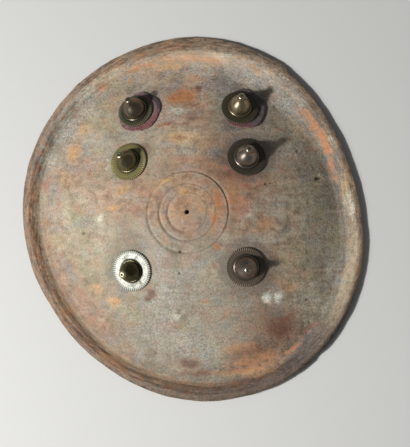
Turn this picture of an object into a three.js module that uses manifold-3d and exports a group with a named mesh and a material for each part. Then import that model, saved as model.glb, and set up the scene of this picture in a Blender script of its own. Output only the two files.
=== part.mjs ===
// Round hide shield, lying face up: a domed disc of thick hide with three turned rings and a rim turned
// up and over, six cast bosses riveted through it, and a round of cloth under each of the upper two.
// Millimetres, +Z up out of the face. The origin is at the middle of the plan, in the plane it rests on.
import * as THREE from 'three';
import { ParametricGeometry } from 'three/addons/geometries/ParametricGeometry.js';
import { mergeVertices } from 'three/addons/utils/BufferGeometryUtils.js';
import Module from 'manifold-3d';

const wasm = await Module();
wasm.setup();

// The hide: one thickness all over, and the outline it dried to
const HIDE_THICKNESS = 5;
const EDGE_RADIUS = 235;
const EDGE_LOBES = [
  { count: 1, depth: 5.3, peak: 225 },
  { count: 2, depth: 11, peak: 115 },
  { count: 3, depth: 3.2, peak: 69 },
  { count: 4, depth: 0.9, peak: 73 },
];

// The dome, and the flat strip round its foot that the shield lies on
const DOME_RISE = 52;
const DOME_FULLNESS = 1.2;
const REST_WIDTH = 6;
const CENTRE_HOLE_RADIUS = 2.8;

// The turned rings: each is the sharp edge of a disc with a narrow moat outside it
const RING_RADII = [24.5, 35.8, 51.8];
const RING_DEPTH = 1;
const RING_STEP_WIDTH = 1.2;
const RING_MOAT_WIDTH = 4;

// The rim: a wall that rises from the strip to a crest, and a lip that curls down outside it.
// Both are broader where the hide sagged as it dried.
const CREST_HEIGHT = 7.5;
const WALL_WIDTH = 16;
const WALL_SAGS = [
  { extra: 10, peak: 50, spread: 18 },
  { extra: 9, peak: 90, spread: 40 },
];
const LIP_WIDTH = 5.5;
const LIP_SAGS = [{ extra: 12.5, peak: 95, spread: 32 }];
const LIP_SLOPE = 0.7;

// The bosses. Each stands on the dome at a bearing, and at a share of the way from its axis to its foot.
// They were cast and filed one by one, so each flange and foot is a little over or under the usual size.
// The upper two have a round of cloth under them, with its own fit, slipped a share of its radius aside.
const TIGHT_CLOTH = { fit: 1.08, shift: 0.16 };
const SLIPPED_CLOTH = { fit: 1.06, shift: 0.22 };
const BOSSES = [
  { place: 'upper_left', bearing: 118.6, reach: 0.785, flangeFit: 0.97, footFit: 1.04, cloth: TIGHT_CLOTH },
  { place: 'upper_right', bearing: 65.4, reach: 0.815, flangeFit: 1, footFit: 0.98, cloth: SLIPPED_CLOTH },
  { place: 'middle_left', bearing: 139.7, reach: 0.506, flangeFit: 1.04, footFit: 0.98 },
  { place: 'middle_right', bearing: 43.7, reach: 0.572, flangeFit: 1.05, footFit: 1.04 },
  { place: 'lower_left', bearing: 224.7, reach: 0.526, flangeFit: 1.11, footFit: 0.95 },
  { place: 'lower_right', bearing: 316.5, reach: 0.475, flangeFit: 1.05, footFit: 1.04 },
];
const FLANGE_RADIUS = 24.5;
const FOOT_RADIUS = 15.8;
const BOSS_HEIGHT = 32;
const FLANGE_THICKNESS = 2.2;
const TEETH = 44;
const TOOTH_DEPTH = 0.9;
const FOOT_RING_HEIGHT = 2.6;
const FOOT_RING_STEP = 1.6;
const NECK_RADIUS = 4.2;
const BUTTON_RADIUS = 4.8;
const BUTTON_HEIGHT = 5;
const BUTTON_DIMPLE = 0.6;
// How far up the cone its full belly carries before it sweeps in to the neck: more is fuller
const CONE_BELLY = 1.4;
const CONE_STEPS = 4;

// The rivets behind: a shank through the hide, with its tail hammered flat
const SHANK_RADIUS = 2.7;
const SHANK_CLEARANCE = 0.3;
const TAIL_RADIUS = 6;
const TAIL_THICKNESS = 2;
const SEAT_CLEARANCE = 0.3;
const SEAT_SPAN = 12;
const TAIL_BED = 0.6;

// The cloth rounds
const CLOTH_RADIUS = 27;
const CLOTH_THICKNESS = 2;
const CLOTH_WAVES = 5;
const CLOTH_WAVE_DEPTH = 0.8;

// How finely round forms are cut into facets
const HIDE_SEGMENTS = 48;
const BOSS_SEGMENTS = 14;
const CLOTH_SEGMENTS = 20;

const radians = THREE.MathUtils.degToRad;

// A smooth swelling, 1 at its peak bearing and fading to either side
function swelling(bearing, peak, spread) {
  const turn = radians(bearing - peak);
  const away = THREE.MathUtils.radToDeg(Math.atan2(Math.sin(turn), Math.cos(turn)));
  return Math.exp(-((away / spread) ** 2));
}

function withSags(width, sags, bearing) {
  return sags.reduce((sum, sag) => sum + sag.extra * swelling(bearing, sag.peak, sag.spread), width);
}

// The plan, as distances from the dome's axis at a bearing: the edge's middle line, the crest, the foot
function edgeAt(bearing) {
  const lobes = EDGE_LOBES.map((lobe) => lobe.depth * Math.cos(lobe.count * radians(bearing - lobe.peak)));
  return EDGE_RADIUS + lobes.reduce((sum, depth) => sum + depth, 0) - HIDE_THICKNESS / 2;
}

function lipAt(bearing) {
  return withSags(LIP_WIDTH, LIP_SAGS, bearing);
}

function wallAt(bearing) {
  return withSags(WALL_WIDTH, WALL_SAGS, bearing);
}

function crestAt(bearing) {
  return edgeAt(bearing) - lipAt(bearing);
}

function stripMiddleAt(bearing) {
  return crestAt(bearing) - wallAt(bearing) - REST_WIDTH / 2;
}

function domeFootAt(bearing) {
  return stripMiddleAt(bearing) - REST_WIDTH / 2;
}

// The middle of the hide's thickness: its height and slope at a distance from the axis
function middleOfHide(distance, bearing) {
  const foot = domeFootAt(bearing);
  const wallStart = foot + REST_WIDTH;
  const crest = crestAt(bearing);
  const ground = HIDE_THICKNESS / 2;
  if (distance < foot) {
    const share = distance / foot;
    const level = 1 - share * share;
    return {
      height: ground + DOME_RISE * level ** DOME_FULLNESS,
      slope: (-2 * DOME_FULLNESS * DOME_RISE * share * level ** (DOME_FULLNESS - 1)) / foot,
    };
  }
  if (distance <= wallStart) {
    return { height: ground, slope: 0 };
  }
  if (distance < crest) {
    const share = (distance - wallStart) / (crest - wallStart);
    return {
      height: ground + CREST_HEIGHT * share * share * (3 - 2 * share),
      slope: (CREST_HEIGHT * 6 * share * (1 - share)) / (crest - wallStart),
    };
  }
  const lip = lipAt(bearing);
  const share = (distance - crest) / lip;
  return { height: ground + CREST_HEIGHT - (LIP_SLOPE * lip * share * share) / 2, slope: -LIP_SLOPE * share };
}

// How far the turning tool went into the face at a distance from the axis
function ringRelief(distance) {
  for (const radius of RING_RADII) {
    const past = distance - radius;
    if (past > 0 && past <= RING_STEP_WIDTH) {
      return (RING_DEPTH * past) / RING_STEP_WIDTH;
    }
    if (past > RING_STEP_WIDTH && past < RING_MOAT_WIDTH) {
      return (RING_DEPTH * (RING_MOAT_WIDTH - past)) / (RING_MOAT_WIDTH - RING_STEP_WIDTH);
    }
  }
  return 0;
}

// A point off the middle of the hide, in the direction that is turned from straight out of the face
// towards the rim by an angle: 0 is the face, 180 is the back and 90 is the outer edge
function pointOffMiddle(distance, bearing, offset, turned, target) {
  const middle = middleOfHide(distance, bearing);
  const lean = Math.atan(middle.slope) + Math.PI / 2 - radians(turned);
  const out = distance + offset * Math.cos(lean);
  const height = middle.height + offset * Math.sin(lean);
  return target.set(out * Math.cos(radians(bearing)), out * Math.sin(radians(bearing)), height);
}

// The closed section of the hide, as stations that every bearing shares. A station in the rings is so
// many millimetres out from the centre hole, and one in any other zone is a share of the way across it.
const outermostRing = Math.max(...RING_RADII) + RING_MOAT_WIDTH;
const zones = {
  rings: (cut) => CENTRE_HOLE_RADIUS + cut,
  dome: (share, bearing) => THREE.MathUtils.lerp(outermostRing, domeFootAt(bearing), share),
  wall: (share, bearing) => THREE.MathUtils.lerp(domeFootAt(bearing) + REST_WIDTH, crestAt(bearing), share),
  lip: (share, bearing) => THREE.MathUtils.lerp(crestAt(bearing), edgeAt(bearing), share),
};

function station(zone, way, turned) {
  return { zone, way, turned };
}

function hideSection() {
  const cutsOfRing = (radius) => [radius, radius + RING_STEP_WIDTH, radius + RING_MOAT_WIDTH];
  const ringCuts = RING_RADII.flatMap(cutsOfRing);
  const faceOfRings = [0, RING_RADII[0] / 2, ...ringCuts.map((cut) => cut - CENTRE_HOLE_RADIUS)];
  const backOfRings = [0, RING_RADII[0], RING_RADII[2]];
  const across = (turned, rings) => [
    ...rings.map((cut) => station('rings', cut, turned)),
    ...[0.22, 0.44, 0.65, 0.85, 1].map((share) => station('dome', share, turned)),
    ...[0, 0.3, 0.6, 0.85].map((share) => station('wall', share, turned)),
    ...[0, 0.5, 1].map((share) => station('lip', share, turned)),
  ];
  const roundEdge = [45, 90, 135].map((turned) => station('lip', 1, turned));
  return [...across(0, faceOfRings), ...roundEdge, ...across(180, backOfRings).reverse()];
}

// Closed meshes to solids and back
function solidOf(geometry) {
  const bare = geometry.clone();
  bare.deleteAttribute('normal');
  bare.deleteAttribute('uv');
  const merged = mergeVertices(bare, 1e-4);
  return new wasm.Manifold(new wasm.Mesh({
    numProp: 3,
    vertProperties: new Float32Array(merged.attributes.position.array),
    triVerts: new Uint32Array(merged.index.array),
  }));
}

function geometryOf(solid) {
  const mesh = solid.getMesh();
  const geometry = new THREE.BufferGeometry();
  geometry.setAttribute('position', new THREE.BufferAttribute(mesh.vertProperties, 3));
  geometry.setIndex(new THREE.BufferAttribute(mesh.triVerts, 1));
  return geometry;
}

function hideBlank() {
  const section = hideSection();
  const place = (u, v, target) => {
    const bearing = -360 * (Math.round(u * HIDE_SEGMENTS) % HIDE_SEGMENTS) / HIDE_SEGMENTS;
    const { zone, way, turned } = section[Math.round(v * section.length) % section.length];
    const distance = zones[zone](way, bearing);
    pointOffMiddle(distance, bearing, HIDE_THICKNESS / 2, turned, target);
    if (turned === 0) {
      target.z -= ringRelief(distance);
    }
  };
  return new ParametricGeometry(place, HIDE_SEGMENTS, section.length);
}

// A seat on the dome: the matrix that stands a piece on the face there, its own +Z out of the face
function seatOf(boss) {
  const distance = boss.reach * domeFootAt(boss.bearing);
  const onFace = (farther, turn) => pointOffMiddle(
    distance + farther, boss.bearing + turn, HIDE_THICKNESS / 2, 0, new THREE.Vector3());
  const outwards = onFace(SEAT_SPAN, 0).sub(onFace(-SEAT_SPAN, 0));
  const turn = THREE.MathUtils.radToDeg(SEAT_SPAN / distance);
  const around = onFace(0, turn).sub(onFace(0, -turn));
  const out = outwards.cross(around).normalize();
  const standing = new THREE.Quaternion().setFromUnitVectors(new THREE.Vector3(0, 0, 1), out);
  return new THREE.Matrix4().compose(onFace(0, 0), standing, new THREE.Vector3(1, 1, 1));
}

// A point of the face, or of a layer a little above it, over or under a place on a seat's own plane
function onFaceNear(seat, across, along, lift, target) {
  const below = new THREE.Vector3(across, along, -HIDE_THICKNESS / 2).applyMatrix4(seat);
  const bearing = THREE.MathUtils.radToDeg(Math.atan2(below.y, below.x));
  return pointOffMiddle(Math.hypot(below.x, below.y), bearing, HIDE_THICKNESS / 2 + lift, 0, target);
}

// How far the hide swells above a seat's plane under the flange, where the dome isn't evenly round
function swellUnder(boss) {
  const seat = seatOf(boss);
  const toSeat = seat.clone().invert();
  const flange = FLANGE_RADIUS * boss.flangeFit;
  const heights = [0.4, 0.7, 1].flatMap((share) => Array.from({ length: BOSS_SEGMENTS }, (_, side) => {
    const turn = (2 * Math.PI * side) / BOSS_SEGMENTS;
    const across = flange * share * Math.cos(turn);
    const along = flange * share * Math.sin(turn);
    return onFaceNear(seat, across, along, 0, new THREE.Vector3()).applyMatrix4(toSeat).z;
  }));
  return Math.max(0, ...heights);
}

// How high a boss's flange sits over its seat: on the hide, or on the cloth
function flangeLift(boss) {
  const underFlange = boss.cloth ? 2 * SEAT_CLEARANCE + CLOTH_THICKNESS : SEAT_CLEARANCE;
  return underFlange + swellUnder(boss);
}

function lathe(profile, segments) {
  const points = profile.map(([radius, height]) => new THREE.Vector2(radius, height));
  return new THREE.LatheGeometry(points, segments).rotateX(Math.PI / 2);
}

// What the drill and the hammer leave in the hide: a hole for the shank and a bed for its tail
function seatCutter() {
  const hole = SHANK_RADIUS + SHANK_CLEARANCE;
  const bed = TAIL_RADIUS + SHANK_CLEARANCE;
  const bedTop = -HIDE_THICKNESS + TAIL_BED;
  const bottom = -HIDE_THICKNESS - TAIL_THICKNESS;
  const bedProfile = [[0, bottom], [bed, bottom], [bed, bedTop], [hole, bedTop]];
  return lathe([...bedProfile, [hole, BOSS_HEIGHT], [0, BOSS_HEIGHT]], BOSS_SEGMENTS);
}

function toothedFlange(radius) {
  const points = Array.from({ length: 2 * TEETH }, (_, index) => {
    const reach = radius - (index % 2 ? TOOTH_DEPTH : 0);
    const turn = (Math.PI * index) / TEETH;
    return new THREE.Vector2(reach * Math.cos(turn), reach * Math.sin(turn));
  });
  return new THREE.ExtrudeGeometry(new THREE.Shape(points), { depth: FLANGE_THICKNESS, bevelEnabled: false });
}

// One casting: its heights are from the flange's underside
function bossGeometry(boss) {
  const tailTop = -flangeLift(boss) - HIDE_THICKNESS + TAIL_BED - SEAT_CLEARANCE;
  const tailEnd = tailTop - TAIL_THICKNESS;
  const coneFoot = FLANGE_THICKNESS + FOOT_RING_HEIGHT;
  const neck = BOSS_HEIGHT - BUTTON_HEIGHT;
  const foot = FOOT_RADIUS * boss.footFit;
  const cone = Array.from({ length: CONE_STEPS + 1 }, (_, step) => {
    const up = step / CONE_STEPS;
    const across = (1 + Math.cos(Math.PI * up ** CONE_BELLY)) / 2;
    return [
      THREE.MathUtils.lerp(NECK_RADIUS, foot - FOOT_RING_STEP, across),
      THREE.MathUtils.lerp(coneFoot, neck, up),
    ];
  });
  const body = lathe([
    [0, tailEnd],
    [TAIL_RADIUS, tailEnd],
    [TAIL_RADIUS, tailTop],
    [SHANK_RADIUS, tailTop],
    [SHANK_RADIUS, FLANGE_THICKNESS / 2],
    [foot, FLANGE_THICKNESS / 2],
    [foot, coneFoot - FOOT_RING_STEP / 2],
    [foot - FOOT_RING_STEP / 2, coneFoot],
    ...cone,
    [BUTTON_RADIUS, neck + BUTTON_HEIGHT * 0.25],
    [BUTTON_RADIUS, neck + BUTTON_HEIGHT * 0.65],
    [BUTTON_RADIUS / 2, BOSS_HEIGHT],
    [0, BOSS_HEIGHT - BUTTON_DIMPLE],
  ], BOSS_SEGMENTS);
  return geometryOf(solidOf(body).add(solidOf(toothedFlange(FLANGE_RADIUS * boss.flangeFit))));
}

// A round of cloth that lies on the dome, with a wavy edge and a hole for the shank
function clothGeometry(boss) {
  const seat = seatOf(boss);
  const hole = SHANK_RADIUS + SHANK_CLEARANCE;
  const reaches = [0, 0.55, 1];
  const section = [
    ...reaches.map((reach) => ({ reach, lift: SEAT_CLEARANCE + CLOTH_THICKNESS })),
    ...reaches.map((reach) => ({ reach, lift: SEAT_CLEARANCE })).reverse(),
  ];
  const place = (u, v, target) => {
    const turn = -2 * Math.PI * (Math.round(u * CLOTH_SEGMENTS) % CLOTH_SEGMENTS) / CLOTH_SEGMENTS;
    const { reach, lift } = section[Math.round(v * section.length) % section.length];
    const wave = CLOTH_WAVE_DEPTH * Math.sin(CLOTH_WAVES * turn);
    const distance = THREE.MathUtils.lerp(hole, CLOTH_RADIUS * boss.cloth.fit + wave, reach);
    const across = distance * Math.cos(turn) + CLOTH_RADIUS * boss.cloth.shift * reach;
    onFaceNear(seat, across, distance * Math.sin(turn), lift, target);
  };
  return new ParametricGeometry(place, CLOTH_SEGMENTS, section.length);
}

function hideGeometry() {
  const cutter = solidOf(seatCutter());
  const holes = BOSSES.map((boss) => cutter.transform(seatOf(boss).toArray()));
  return geometryOf(holes.reduce((hide, hole) => hide.subtract(hole), solidOf(hideBlank())));
}

const hideLeather = new THREE.MeshStandardMaterial({ color: 0xa89c85, roughness: 0.55, metalness: 0 });
const agedBrass = new THREE.MeshStandardMaterial({ color: 0x6e6650, roughness: 0.4, metalness: 1 });
const redCloth = new THREE.MeshStandardMaterial({ color: 0x6a4e4d, roughness: 0.95, metalness: 0 });

function named(name, geometry, material) {
  const mesh = new THREE.Mesh(geometry, material);
  mesh.name = name;
  return mesh;
}

const shield = new THREE.Group();
const hide = named('hide_disc', hideGeometry(), hideLeather);
shield.add(hide);

for (const boss of BOSSES) {
  const casting = named(`boss_${boss.place}`, bossGeometry(boss), agedBrass);
  casting.applyMatrix4(seatOf(boss));
  casting.translateZ(flangeLift(boss));
  shield.add(casting);
  if (boss.cloth) {
    shield.add(named(`cloth_washer_${boss.place}`, clothGeometry(boss), redCloth));
  }
}

// The dome's axis isn't quite at the middle of the plan, where the origin goes
const middle = new THREE.Box3().setFromObject(hide).getCenter(new THREE.Vector3());
shield.position.set(-middle.x, -middle.y, 0);

export default shield;
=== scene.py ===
import bmesh
import bpy
import numpy as np
from mathutils import Matrix, Vector, noise


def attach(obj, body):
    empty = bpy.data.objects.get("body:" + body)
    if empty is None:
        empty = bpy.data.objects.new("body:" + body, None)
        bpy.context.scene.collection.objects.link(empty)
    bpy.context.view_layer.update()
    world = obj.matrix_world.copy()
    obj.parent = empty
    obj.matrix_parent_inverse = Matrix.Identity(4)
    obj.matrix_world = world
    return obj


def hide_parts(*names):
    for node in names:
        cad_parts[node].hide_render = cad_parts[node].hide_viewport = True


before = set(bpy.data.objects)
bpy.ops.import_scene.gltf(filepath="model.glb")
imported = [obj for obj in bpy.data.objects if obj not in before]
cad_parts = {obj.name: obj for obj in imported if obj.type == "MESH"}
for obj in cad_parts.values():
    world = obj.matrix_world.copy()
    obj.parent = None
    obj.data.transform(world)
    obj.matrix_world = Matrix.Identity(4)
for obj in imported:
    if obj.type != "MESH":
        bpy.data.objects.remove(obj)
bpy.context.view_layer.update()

# The hide disc
# One piece of thick raw hide, pressed over a dome while wet and dried hard. Its rings were turned into the
# face with a scraper, and its rim was turned up and rolled over while it was still soft.
MM = 0.001
HIDE_THICKNESS = 5
EDGE_RADIUS = 235
EDGE_LOBES = ((1, 5.3, 225), (2, 11, 115), (3, 3.2, 69), (4, 0.9, 73))
DOME_RISE = 52
DOME_FULLNESS = 1.2
REST_WIDTH = 6
CENTRE_HOLE_RADIUS = 2.8
RING_RADII = (24.5, 35.8, 51.8)
RING_DEPTH = 1
RING_STEP_WIDTH = 1.2
RING_MOAT_WIDTH = 4
CREST_HEIGHT = 7.5
WALL_WIDTH = 16
WALL_SAGS = ((10, 50, 18), (9, 90, 40))
LIP_WIDTH = 5.5
LIP_SAGS = ((12.5, 95, 32),)
LIP_SLOPE = 0.7
OUTLINE_SIDES = 48


def hump(value, middle, width):
    """1 in the middle, and all but gone two widths to either side."""
    return np.exp(-(((value - middle) / width) ** 2))


def swelling(bearing, peak, spread):
    """The same hump round the shield, where 360 degrees is 0 again."""
    return hump((bearing - peak + 180) % 360 - 180, 0, spread)


def smooth(low, high, value):
    """0 below low, 1 above high, and a smooth rise between."""
    share = np.clip((value - low) / (high - low), 0, 1)
    return share * share * (3 - 2 * share)


def edge_at(bearing):
    lobes = (depth * np.cos(np.radians(count * (bearing - peak))) for count, depth, peak in EDGE_LOBES)
    return EDGE_RADIUS + sum(lobes) - HIDE_THICKNESS / 2


def lip_at(bearing):
    return LIP_WIDTH + sum(extra * swelling(bearing, peak, spread) for extra, peak, spread in LIP_SAGS)


def wall_at(bearing):
    return WALL_WIDTH + sum(extra * swelling(bearing, peak, spread) for extra, peak, spread in WALL_SAGS)


def crest_at(bearing):
    return edge_at(bearing) - lip_at(bearing)


def foot_at(bearing):
    return crest_at(bearing) - wall_at(bearing) - REST_WIDTH


def middle_of_hide(distance, bearing):
    """Height and slope of the middle of the hide's thickness, at a distance from the dome's axis."""
    foot = foot_at(bearing)
    wall_start = foot + REST_WIDTH
    wall, lip = wall_at(bearing), lip_at(bearing)
    share = np.clip(distance / foot, 0, 1)
    level = np.maximum(1 - share * share, 1e-9)
    up = np.clip((distance - wall_start) / wall, 0, 1)
    over = np.clip((distance - wall_start - wall) / lip, 0, None)
    height = HIDE_THICKNESS / 2 + DOME_RISE * level**DOME_FULLNESS * (share < 1)
    height = height + CREST_HEIGHT * up * up * (3 - 2 * up) - LIP_SLOPE * lip * over * over / 2
    slope = -2 * DOME_FULLNESS * DOME_RISE * share * level ** (DOME_FULLNESS - 1) / foot * (share < 1)
    slope = slope + CREST_HEIGHT * 6 * up * (1 - up) / wall - LIP_SLOPE * over
    return height, slope


def off_middle(distance, bearing, offset, turned=0):
    """Points off the middle of the hide: turned 0 is the face, 90 the outer edge and 180 the back."""
    height, slope = middle_of_hide(distance, bearing)
    lean = np.arctan(slope) + np.radians(90 - turned)
    out = distance + offset * np.cos(lean)
    turn = np.radians(bearing)
    return np.stack([out * np.cos(turn), out * np.sin(turn), height + offset * np.sin(lean)], axis=-1)


def outline_middle():
    """The middle of the plan's box, seen from the dome's axis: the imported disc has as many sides."""
    bearings = np.arange(OUTLINE_SIDES) * 360 / OUTLINE_SIDES
    plan = off_middle(edge_at(bearings), bearings, HIDE_THICKNESS / 2, 90)[:, :2]
    return (plan.min(axis=0) + plan.max(axis=0)) / 2


AXIS = np.append(-outline_middle(), 0)

# The seats of the six bosses: a bearing, and a share of the way from the dome's axis to its foot
SEATS = {
    "upper_left": (118.6, 0.785), "upper_right": (65.4, 0.815), "middle_left": (139.7, 0.506),
    "middle_right": (43.7, 0.572), "lower_left": (224.7, 0.526), "lower_right": (316.5, 0.475),
}
# How far to either side of a seat the face is felt for its lean
SEAT_SPAN = 12


def seat_of(place):
    """The matrix that stands a piece on the face at a boss's seat, its own +Z out of the face."""
    bearing, reach = SEATS[place]
    distance = reach * foot_at(bearing)

    def on_face(farther, turn):
        return Vector(off_middle(distance + farther, bearing + turn, HIDE_THICKNESS / 2) + AXIS)

    turn = np.degrees(SEAT_SPAN / distance)
    outwards = on_face(SEAT_SPAN, 0) - on_face(-SEAT_SPAN, 0)
    around = on_face(0, turn) - on_face(0, -turn)
    standing = Vector((0, 0, 1)).rotation_difference(outwards.cross(around))
    return Matrix.LocRotScale(on_face(0, 0), standing, None)


# The mesh follows the section round the axis, finest where the rings and the rim are
HIDE_STEPS = 448
RING_GRAIN = 1.6
RING_STEP_GRAIN = 0.3
RING_MOAT_GRAIN = 0.6
FACE_STEPS = {"dome": 60, "strip": 3, "wall": 24, "lip": 8}
BACK_STEPS = {"dome": 24, "strip": 2, "wall": 12, "lip": 5}
BACK_RING_STEPS = 6
EDGE_STEPS = 9
ZONES = ("rings", "dome", "strip", "wall", "lip")


def ring_distances():
    """Distances over the turned middle, with close steps down each ring's edge and out of its moat."""
    stops = [CENTRE_HOLE_RADIUS]
    grains = ((0, RING_GRAIN), (RING_STEP_WIDTH, RING_STEP_GRAIN), (RING_MOAT_WIDTH, RING_MOAT_GRAIN))
    for radius in RING_RADII:
        for past, grain in grains:
            steps = round((radius + past - stops[-1]) / grain)
            stops += list(np.linspace(stops[-1], radius + past, steps + 1)[1:])
    return stops


def hide_stations():
    """The closed section: each station's zone, its way across that zone, and the way it is turned."""
    turned_middle = ring_distances()
    face = [("rings", distance, 0) for distance in turned_middle]
    plain_middle = np.linspace(turned_middle[0], turned_middle[-1], BACK_RING_STEPS)
    back = [("rings", distance, 180) for distance in plain_middle]
    for zone in ZONES[1:]:
        face += [(zone, step / FACE_STEPS[zone], 0) for step in range(1, FACE_STEPS[zone] + 1)]
        back += [(zone, step / BACK_STEPS[zone], 180) for step in range(1, BACK_STEPS[zone] + 1)]
    edge = [("lip", 1, 180 * step / EDGE_STEPS) for step in range(1, EDGE_STEPS)]
    return face + edge + back[::-1]


def way_out(zone, way, bearing, edge_wander):
    """The distance from the dome's axis of each station."""
    foot, strip = foot_at(bearing), REST_WIDTH
    wall, lip = wall_at(bearing), lip_at(bearing) + edge_wander
    rings_end = RING_RADII[-1] + RING_MOAT_WIDTH
    return np.select(
        [zone == name for name in ZONES],
        [
            way,
            rings_end + way * (foot - rings_end),
            foot + way * strip,
            foot + strip + way * wall,
            foot + strip + wall + way * lip,
        ],
    )


def rough(places, grain, octaves=3, seed=0):
    """Even noise of about -1 to 1, with swells of a grain's size in millimetres, at each place."""
    shift = Vector((17.3, -8.1, 4.7)) * seed
    return np.array([noise.fractal(Vector(place) / grain + shift, 1.0, 2.1, octaves) for place in places])


def along_rim(distance, bearing, stretch):
    """Places whose noise runs out in streaks round the shield, that much longer than they are wide."""
    turn = np.radians(bearing)
    radius = EDGE_RADIUS / stretch
    return np.stack([radius * np.cos(turn), radius * np.sin(turn), distance], axis=-1)


# Where each ring is still crisp: the bearing, how far round, and how much of its depth is left there
RING_KEPT = (((205, 80, 1),), ((205, 85, 1.1),), ((35, 65, 1.2), (205, 75, 0.8)))


def ring_kept(ring, bearing):
    """How much of a ring's depth is left at a bearing, after the rubbing of years."""
    crisp = [share * swelling(bearing, peak, spread) for peak, spread, share in ring]
    return 0.2 + 0.8 * np.max(crisp, axis=0)


def ring_relief(distance, bearing):
    depth = np.zeros_like(distance)
    for radius, ring in zip(RING_RADII, RING_KEPT):
        past = distance - radius
        step = np.clip(past / RING_STEP_WIDTH, 0, 1)
        moat = np.clip((RING_MOAT_WIDTH - past) / (RING_MOAT_WIDTH - RING_STEP_WIDTH), 0, 1)
        depth = np.maximum(depth, ring_kept(ring, bearing) * RING_DEPTH * np.minimum(step, moat))
    return depth


# Pits and cuts in the face: place across and along, length, width, depth, and turn if it isn't 0
PITS = (
    (171, 48, 11, 5, 3, 10), (144, 84, 4, 4, 1.2), (155, -111, 5, 4, 1.6), (-139, -22, 6, 3.5, 1.4, -30),
    (-4, -49, 5, 4, 1.2), (-6, -76, 4, 4, 1), (105, 39, 4, 4, 1),
)
# Creases that run along the rim: how far inside the crest, how wide and deep, and from where to where
CREASES = (
    (2.5, 1.6, 0.7, 200, 340), (9.5, 1.8, 0.5, 262, 320), (6, 1.6, 0.5, 60, 150),
    (12, 2, 0.4, 75, 135), (20, 2, 0.4, 70, 120), (3, 1.4, 0.6, 150, 200),
)
# Tears in the edge: the bearing where the outline jumps out, how far, and over what bearing it comes back
TEARS = ((56, 2.4, 11), (309, -2.2, 5), (130, 1, 6))
EDGE_RAGGED = 0.5
# How far from a boss's seat the hide starts to swell freely, and where it does so in full
BOSS_CLEAR = (30, 46)


def ellipse_away(places, mark):
    """How far each place is from the middle of an elliptical mark: 1 is at its edge."""
    x, y, long, wide, _, turn = (*mark, 0)[:6]
    across, along = places[:, 0] - x, places[:, 1] - y
    cos, sin = np.cos(np.radians(turn)), np.sin(np.radians(turn))
    return np.hypot((across * cos + along * sin) * 2 / long, (along * cos - across * sin) * 2 / wide)


def from_seat(places, place):
    """How far each place is from a boss's seat, seen from above."""
    x, y, _ = seat_of(place).translation
    return np.hypot(places[:, 0] - x, places[:, 1] - y)


def hide_relief(places, distance, bearing, face):
    """How far the dried hide stands proud of its even form, in millimetres."""
    turned_up = smooth(0, 8, distance - foot_at(bearing) - REST_WIDTH)
    clear = smooth(*BOSS_CLEAR, np.min([from_seat(places, place) for place in SEATS], axis=0))
    relief = 0.8 * clear * rough(places, 80, 2)
    relief += 0.16 * (0.3 + 0.7 * clear) * rough(places, 13, 3, seed=1)
    relief += 0.08 * rough(places, 4, 2, seed=2)
    relief += 0.12 * rough(along_rim(distance, bearing, 28), 2.6, 2, seed=3)
    relief += 0.55 * turned_up * rough(along_rim(distance, bearing, 9), 4, 3, seed=4)
    inside_crest = crest_at(bearing) - distance
    wander = 1.2 * rough(along_rim(distance * 0, bearing, 1), 30, 2, seed=5)
    for inside, width, depth, start, end in CREASES:
        run = smooth(start - 8, start + 8, bearing) * (1 - smooth(end - 8, end + 8, bearing))
        relief -= face * run * depth * hump(inside_crest + wander, inside, width)
    for pit in PITS:
        relief -= face * pit[4] * (1 - smooth(0.2, 1.1, ellipse_away(places, pit)))
    return relief - face * ring_relief(distance, bearing)


def spin_section(section, steps, closed):
    """A mesh spun from (radius, height) points, each with its number. A closed section makes a ring, and
    an open one, which starts and ends near the axis, makes a solid with capped ends."""
    bm = bmesh.new()
    number = bm.verts.layers.int.new("station")
    verts = []
    for index, (radius, height) in enumerate(section):
        vert = bm.verts.new((radius, 0, height))
        vert[number] = index
        verts.append(vert)
    pairs = list(zip(verts, verts[1:]))
    if closed:
        pairs.insert(0, (verts[-1], verts[0]))
    edges = [bm.edges.new(pair) for pair in pairs]
    around = {"cent": (0, 0, 0), "axis": (0, 0, 1), "angle": 2 * np.pi}
    bmesh.ops.spin(bm, geom=verts + edges, **around, steps=steps, use_merge=True)
    if not closed:
        bmesh.ops.holes_fill(bm, edges=[edge for edge in bm.edges if edge.is_boundary])
    bmesh.ops.recalc_face_normals(bm, faces=bm.faces)
    return bm


def finished_piece(bm, name):
    """An object at the origin, from a bmesh whose places are in millimetres, with smooth faces."""
    mesh = bpy.data.meshes.new(name)
    bm.to_mesh(mesh)
    bm.free()
    mesh.shade_smooth()
    piece = bpy.data.objects.new(name, mesh)
    bpy.context.scene.collection.objects.link(piece)
    return piece


def places_of(piece):
    flat = np.empty(3 * len(piece.data.vertices))
    piece.data.vertices.foreach_get("co", flat)
    return flat.reshape(-1, 3)


def set_places(piece, places):
    piece.data.vertices.foreach_set("co", (places * MM).ravel())
    piece.data.update()


def stations_of(piece):
    """Which point of the spun section each point of the mesh came from."""
    numbers = np.empty(len(piece.data.vertices), dtype=np.int32)
    piece.data.attributes["station"].data.foreach_get("value", numbers)
    return numbers


def set_share(piece, label, values):
    """Keeps a number from 0 to 1 at every point, for the finish to read."""
    layer = piece.data.attributes.new(label, "FLOAT", "POINT")
    layer.data.foreach_set("value", np.clip(values, 0, 1).astype(np.float32))


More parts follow.
